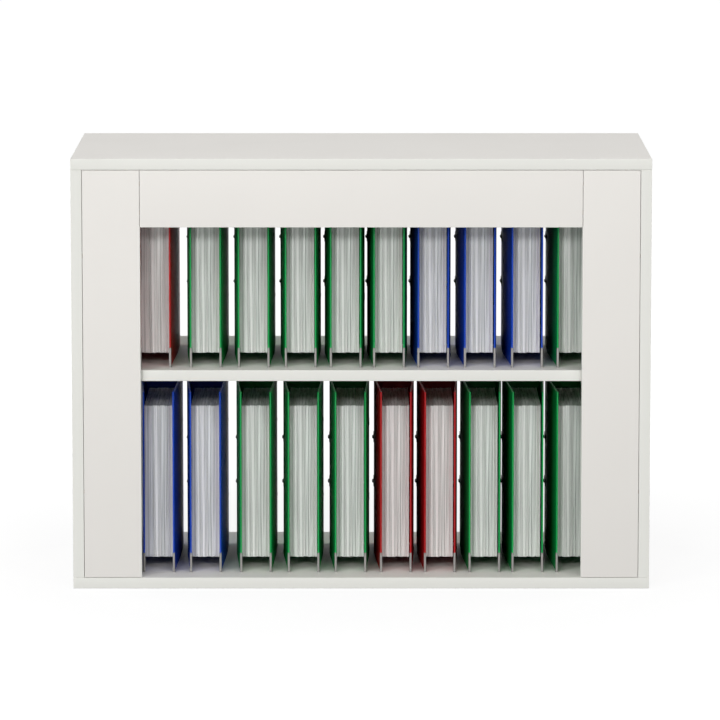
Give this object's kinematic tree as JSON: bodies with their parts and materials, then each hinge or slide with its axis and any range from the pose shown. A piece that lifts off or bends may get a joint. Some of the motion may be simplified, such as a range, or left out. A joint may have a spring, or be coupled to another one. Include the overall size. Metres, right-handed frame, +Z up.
{
  "type": "medical chart rack",
  "caption": "Open-backed white board cabinet with a framed front and a middle shelf, filled with rows of upright lever-arch chart files that slide out at the open side.",
  "frame": {"origin": "under the middle of the base, on the floor plane", "axes": "+Z up, -Y towards the framed front, +Y towards the open back, +X to the right seen from the front"},
  "size_m": [1, 0.45, 0.75],
  "materials": {
    "white_board": "satin white melamine face on particle board",
    "white_edge_band": "satin",
    "zinc_fitting": "zinc plated",
    "beech_dowel": "raw",
    "red_case_board": "matte plastic foil over board",
    "green_case_board": "matte plastic foil over board",
    "blue_case_board": "matte plastic foil over board",
    "paper_sheets": "matte"
  },
  "bodies": {
    "cabinet": {"top_panel": "white_board", "bottom_panel": "white_board", "left_side_panel": "white_board", "right_side_panel": "white_board", "left_stile": "white_board", "right_stile": "white_board", "top_rail": "white_board", "middle_shelf": "white_board", "top_edge_bands": "white_edge_band", "bottom_edge_bands": "white_edge_band", "side_edge_bands": "white_edge_band", "stile_edge_bands": "white_edge_band", "rail_edge_band": "white_edge_band", "shelf_edge_bands": "white_edge_band", "cam_housings": "zinc_fitting", "cam_bolts": "zinc_fitting", "panel_dowels": "beech_dowel", "frame_dowels": "beech_dowel", "shelf_supports": "zinc_fitting"},
    "file_upper_01": {"file_upper_01_case": "red_case_board", "file_upper_01_sheets": "paper_sheets"},
    "file_upper_02": {"file_upper_02_case": "green_case_board", "file_upper_02_sheets": "paper_sheets"},
    "file_upper_03": {"file_upper_03_case": "green_case_board", "file_upper_03_sheets": "paper_sheets"},
    "file_upper_04": {"file_upper_04_case": "green_case_board", "file_upper_04_sheets": "paper_sheets"},
    "file_upper_05": {"file_upper_05_case": "green_case_board", "file_upper_05_sheets": "paper_sheets"},
    "file_upper_06": {"file_upper_06_case": "green_case_board", "file_upper_06_sheets": "paper_sheets"},
    "file_upper_07": {"file_upper_07_case": "blue_case_board", "file_upper_07_sheets": "paper_sheets"},
    "file_upper_08": {"file_upper_08_case": "blue_case_board", "file_upper_08_sheets": "paper_sheets"},
    "file_upper_09": {"file_upper_09_case": "blue_case_board", "file_upper_09_sheets": "paper_sheets"},
    "file_upper_10": {"file_upper_10_case": "green_case_board", "file_upper_10_sheets": "paper_sheets"},
    "file_lower_01": {"file_lower_01_case": "blue_case_board", "file_lower_01_sheets": "paper_sheets"},
    "file_lower_02": {"file_lower_02_case": "blue_case_board", "file_lower_02_sheets": "paper_sheets"},
    "file_lower_03": {"file_lower_03_case": "green_case_board", "file_lower_03_sheets": "paper_sheets"},
    "file_lower_04": {"file_lower_04_case": "green_case_board", "file_lower_04_sheets": "paper_sheets"},
    "file_lower_05": {"file_lower_05_case": "green_case_board", "file_lower_05_sheets": "paper_sheets"},
    "file_lower_06": {"file_lower_06_case": "red_case_board", "file_lower_06_sheets": "paper_sheets"},
    "file_lower_07": {"file_lower_07_case": "red_case_board", "file_lower_07_sheets": "paper_sheets"},
    "file_lower_08": {"file_lower_08_case": "green_case_board", "file_lower_08_sheets": "paper_sheets"},
    "file_lower_09": {"file_lower_09_case": "green_case_board", "file_lower_09_sheets": "paper_sheets"},
    "file_lower_10": {"file_lower_10_case": "green_case_board", "file_lower_10_sheets": "paper_sheets"}
  },
  "joints": [
    {"name": "file_upper_01_slide", "type": "slide", "parent": "cabinet", "child": "file_upper_01", "axis": [0, 1, 0], "range_m": [0, 0.4]},
    {"name": "file_upper_02_slide", "type": "slide", "parent": "cabinet", "child": "file_upper_02", "axis": [0, 1, 0], "range_m": [0, 0.4]},
    {"name": "file_upper_03_slide", "type": "slide", "parent": "cabinet", "child": "file_upper_03", "axis": [0, 1, 0], "range_m": [0, 0.4]},
    {"name": "file_upper_04_slide", "type": "slide", "parent": "cabinet", "child": "file_upper_04", "axis": [0, 1, 0], "range_m": [0, 0.4]},
    {"name": "file_upper_05_slide", "type": "slide", "parent": "cabinet", "child": "file_upper_05", "axis": [0, 1, 0], "range_m": [0, 0.4]},
    {"name": "file_upper_06_slide", "type": "slide", "parent": "cabinet", "child": "file_upper_06", "axis": [0, 1, 0], "range_m": [0, 0.4]},
    {"name": "file_upper_07_slide", "type": "slide", "parent": "cabinet", "child": "file_upper_07", "axis": [0, 1, 0], "range_m": [0, 0.4]},
    {"name": "file_upper_08_slide", "type": "slide", "parent": "cabinet", "child": "file_upper_08", "axis": [0, 1, 0], "range_m": [0, 0.4]},
    {"name": "file_upper_09_slide", "type": "slide", "parent": "cabinet", "child": "file_upper_09", "axis": [0, 1, 0], "range_m": [0, 0.4]},
    {"name": "file_upper_10_slide", "type": "slide", "parent": "cabinet", "child": "file_upper_10", "axis": [0, 1, 0], "range_m": [0, 0.4]},
    {"name": "file_lower_01_slide", "type": "slide", "parent": "cabinet", "child": "file_lower_01", "axis": [0, 1, 0], "range_m": [0, 0.4]},
    {"name": "file_lower_02_slide", "type": "slide", "parent": "cabinet", "child": "file_lower_02", "axis": [0, 1, 0], "range_m": [0, 0.4]},
    {"name": "file_lower_03_slide", "type": "slide", "parent": "cabinet", "child": "file_lower_03", "axis": [0, 1, 0], "range_m": [0, 0.4]},
    {"name": "file_lower_04_slide", "type": "slide", "parent": "cabinet", "child": "file_lower_04", "axis": [0, 1, 0], "range_m": [0, 0.4]},
    {"name": "file_lower_05_slide", "type": "slide", "parent": "cabinet", "child": "file_lower_05", "axis": [0, 1, 0], "range_m": [0, 0.4]},
    {"name": "file_lower_06_slide", "type": "slide", "parent": "cabinet", "child": "file_lower_06", "axis": [0, 1, 0], "range_m": [0, 0.4]},
    {"name": "file_lower_07_slide", "type": "slide", "parent": "cabinet", "child": "file_lower_07", "axis": [0, 1, 0], "range_m": [0, 0.4]},
    {"name": "file_lower_08_slide", "type": "slide", "parent": "cabinet", "child": "file_lower_08", "axis": [0, 1, 0], "range_m": [0, 0.4]},
    {"name": "file_lower_09_slide", "type": "slide", "parent": "cabinet", "child": "file_lower_09", "axis": [0, 1, 0], "range_m": [0, 0.4]},
    {"name": "file_lower_10_slide", "type": "slide", "parent": "cabinet", "child": "file_lower_10", "axis": [0, 1, 0], "range_m": [0, 0.4]}
  ]
}
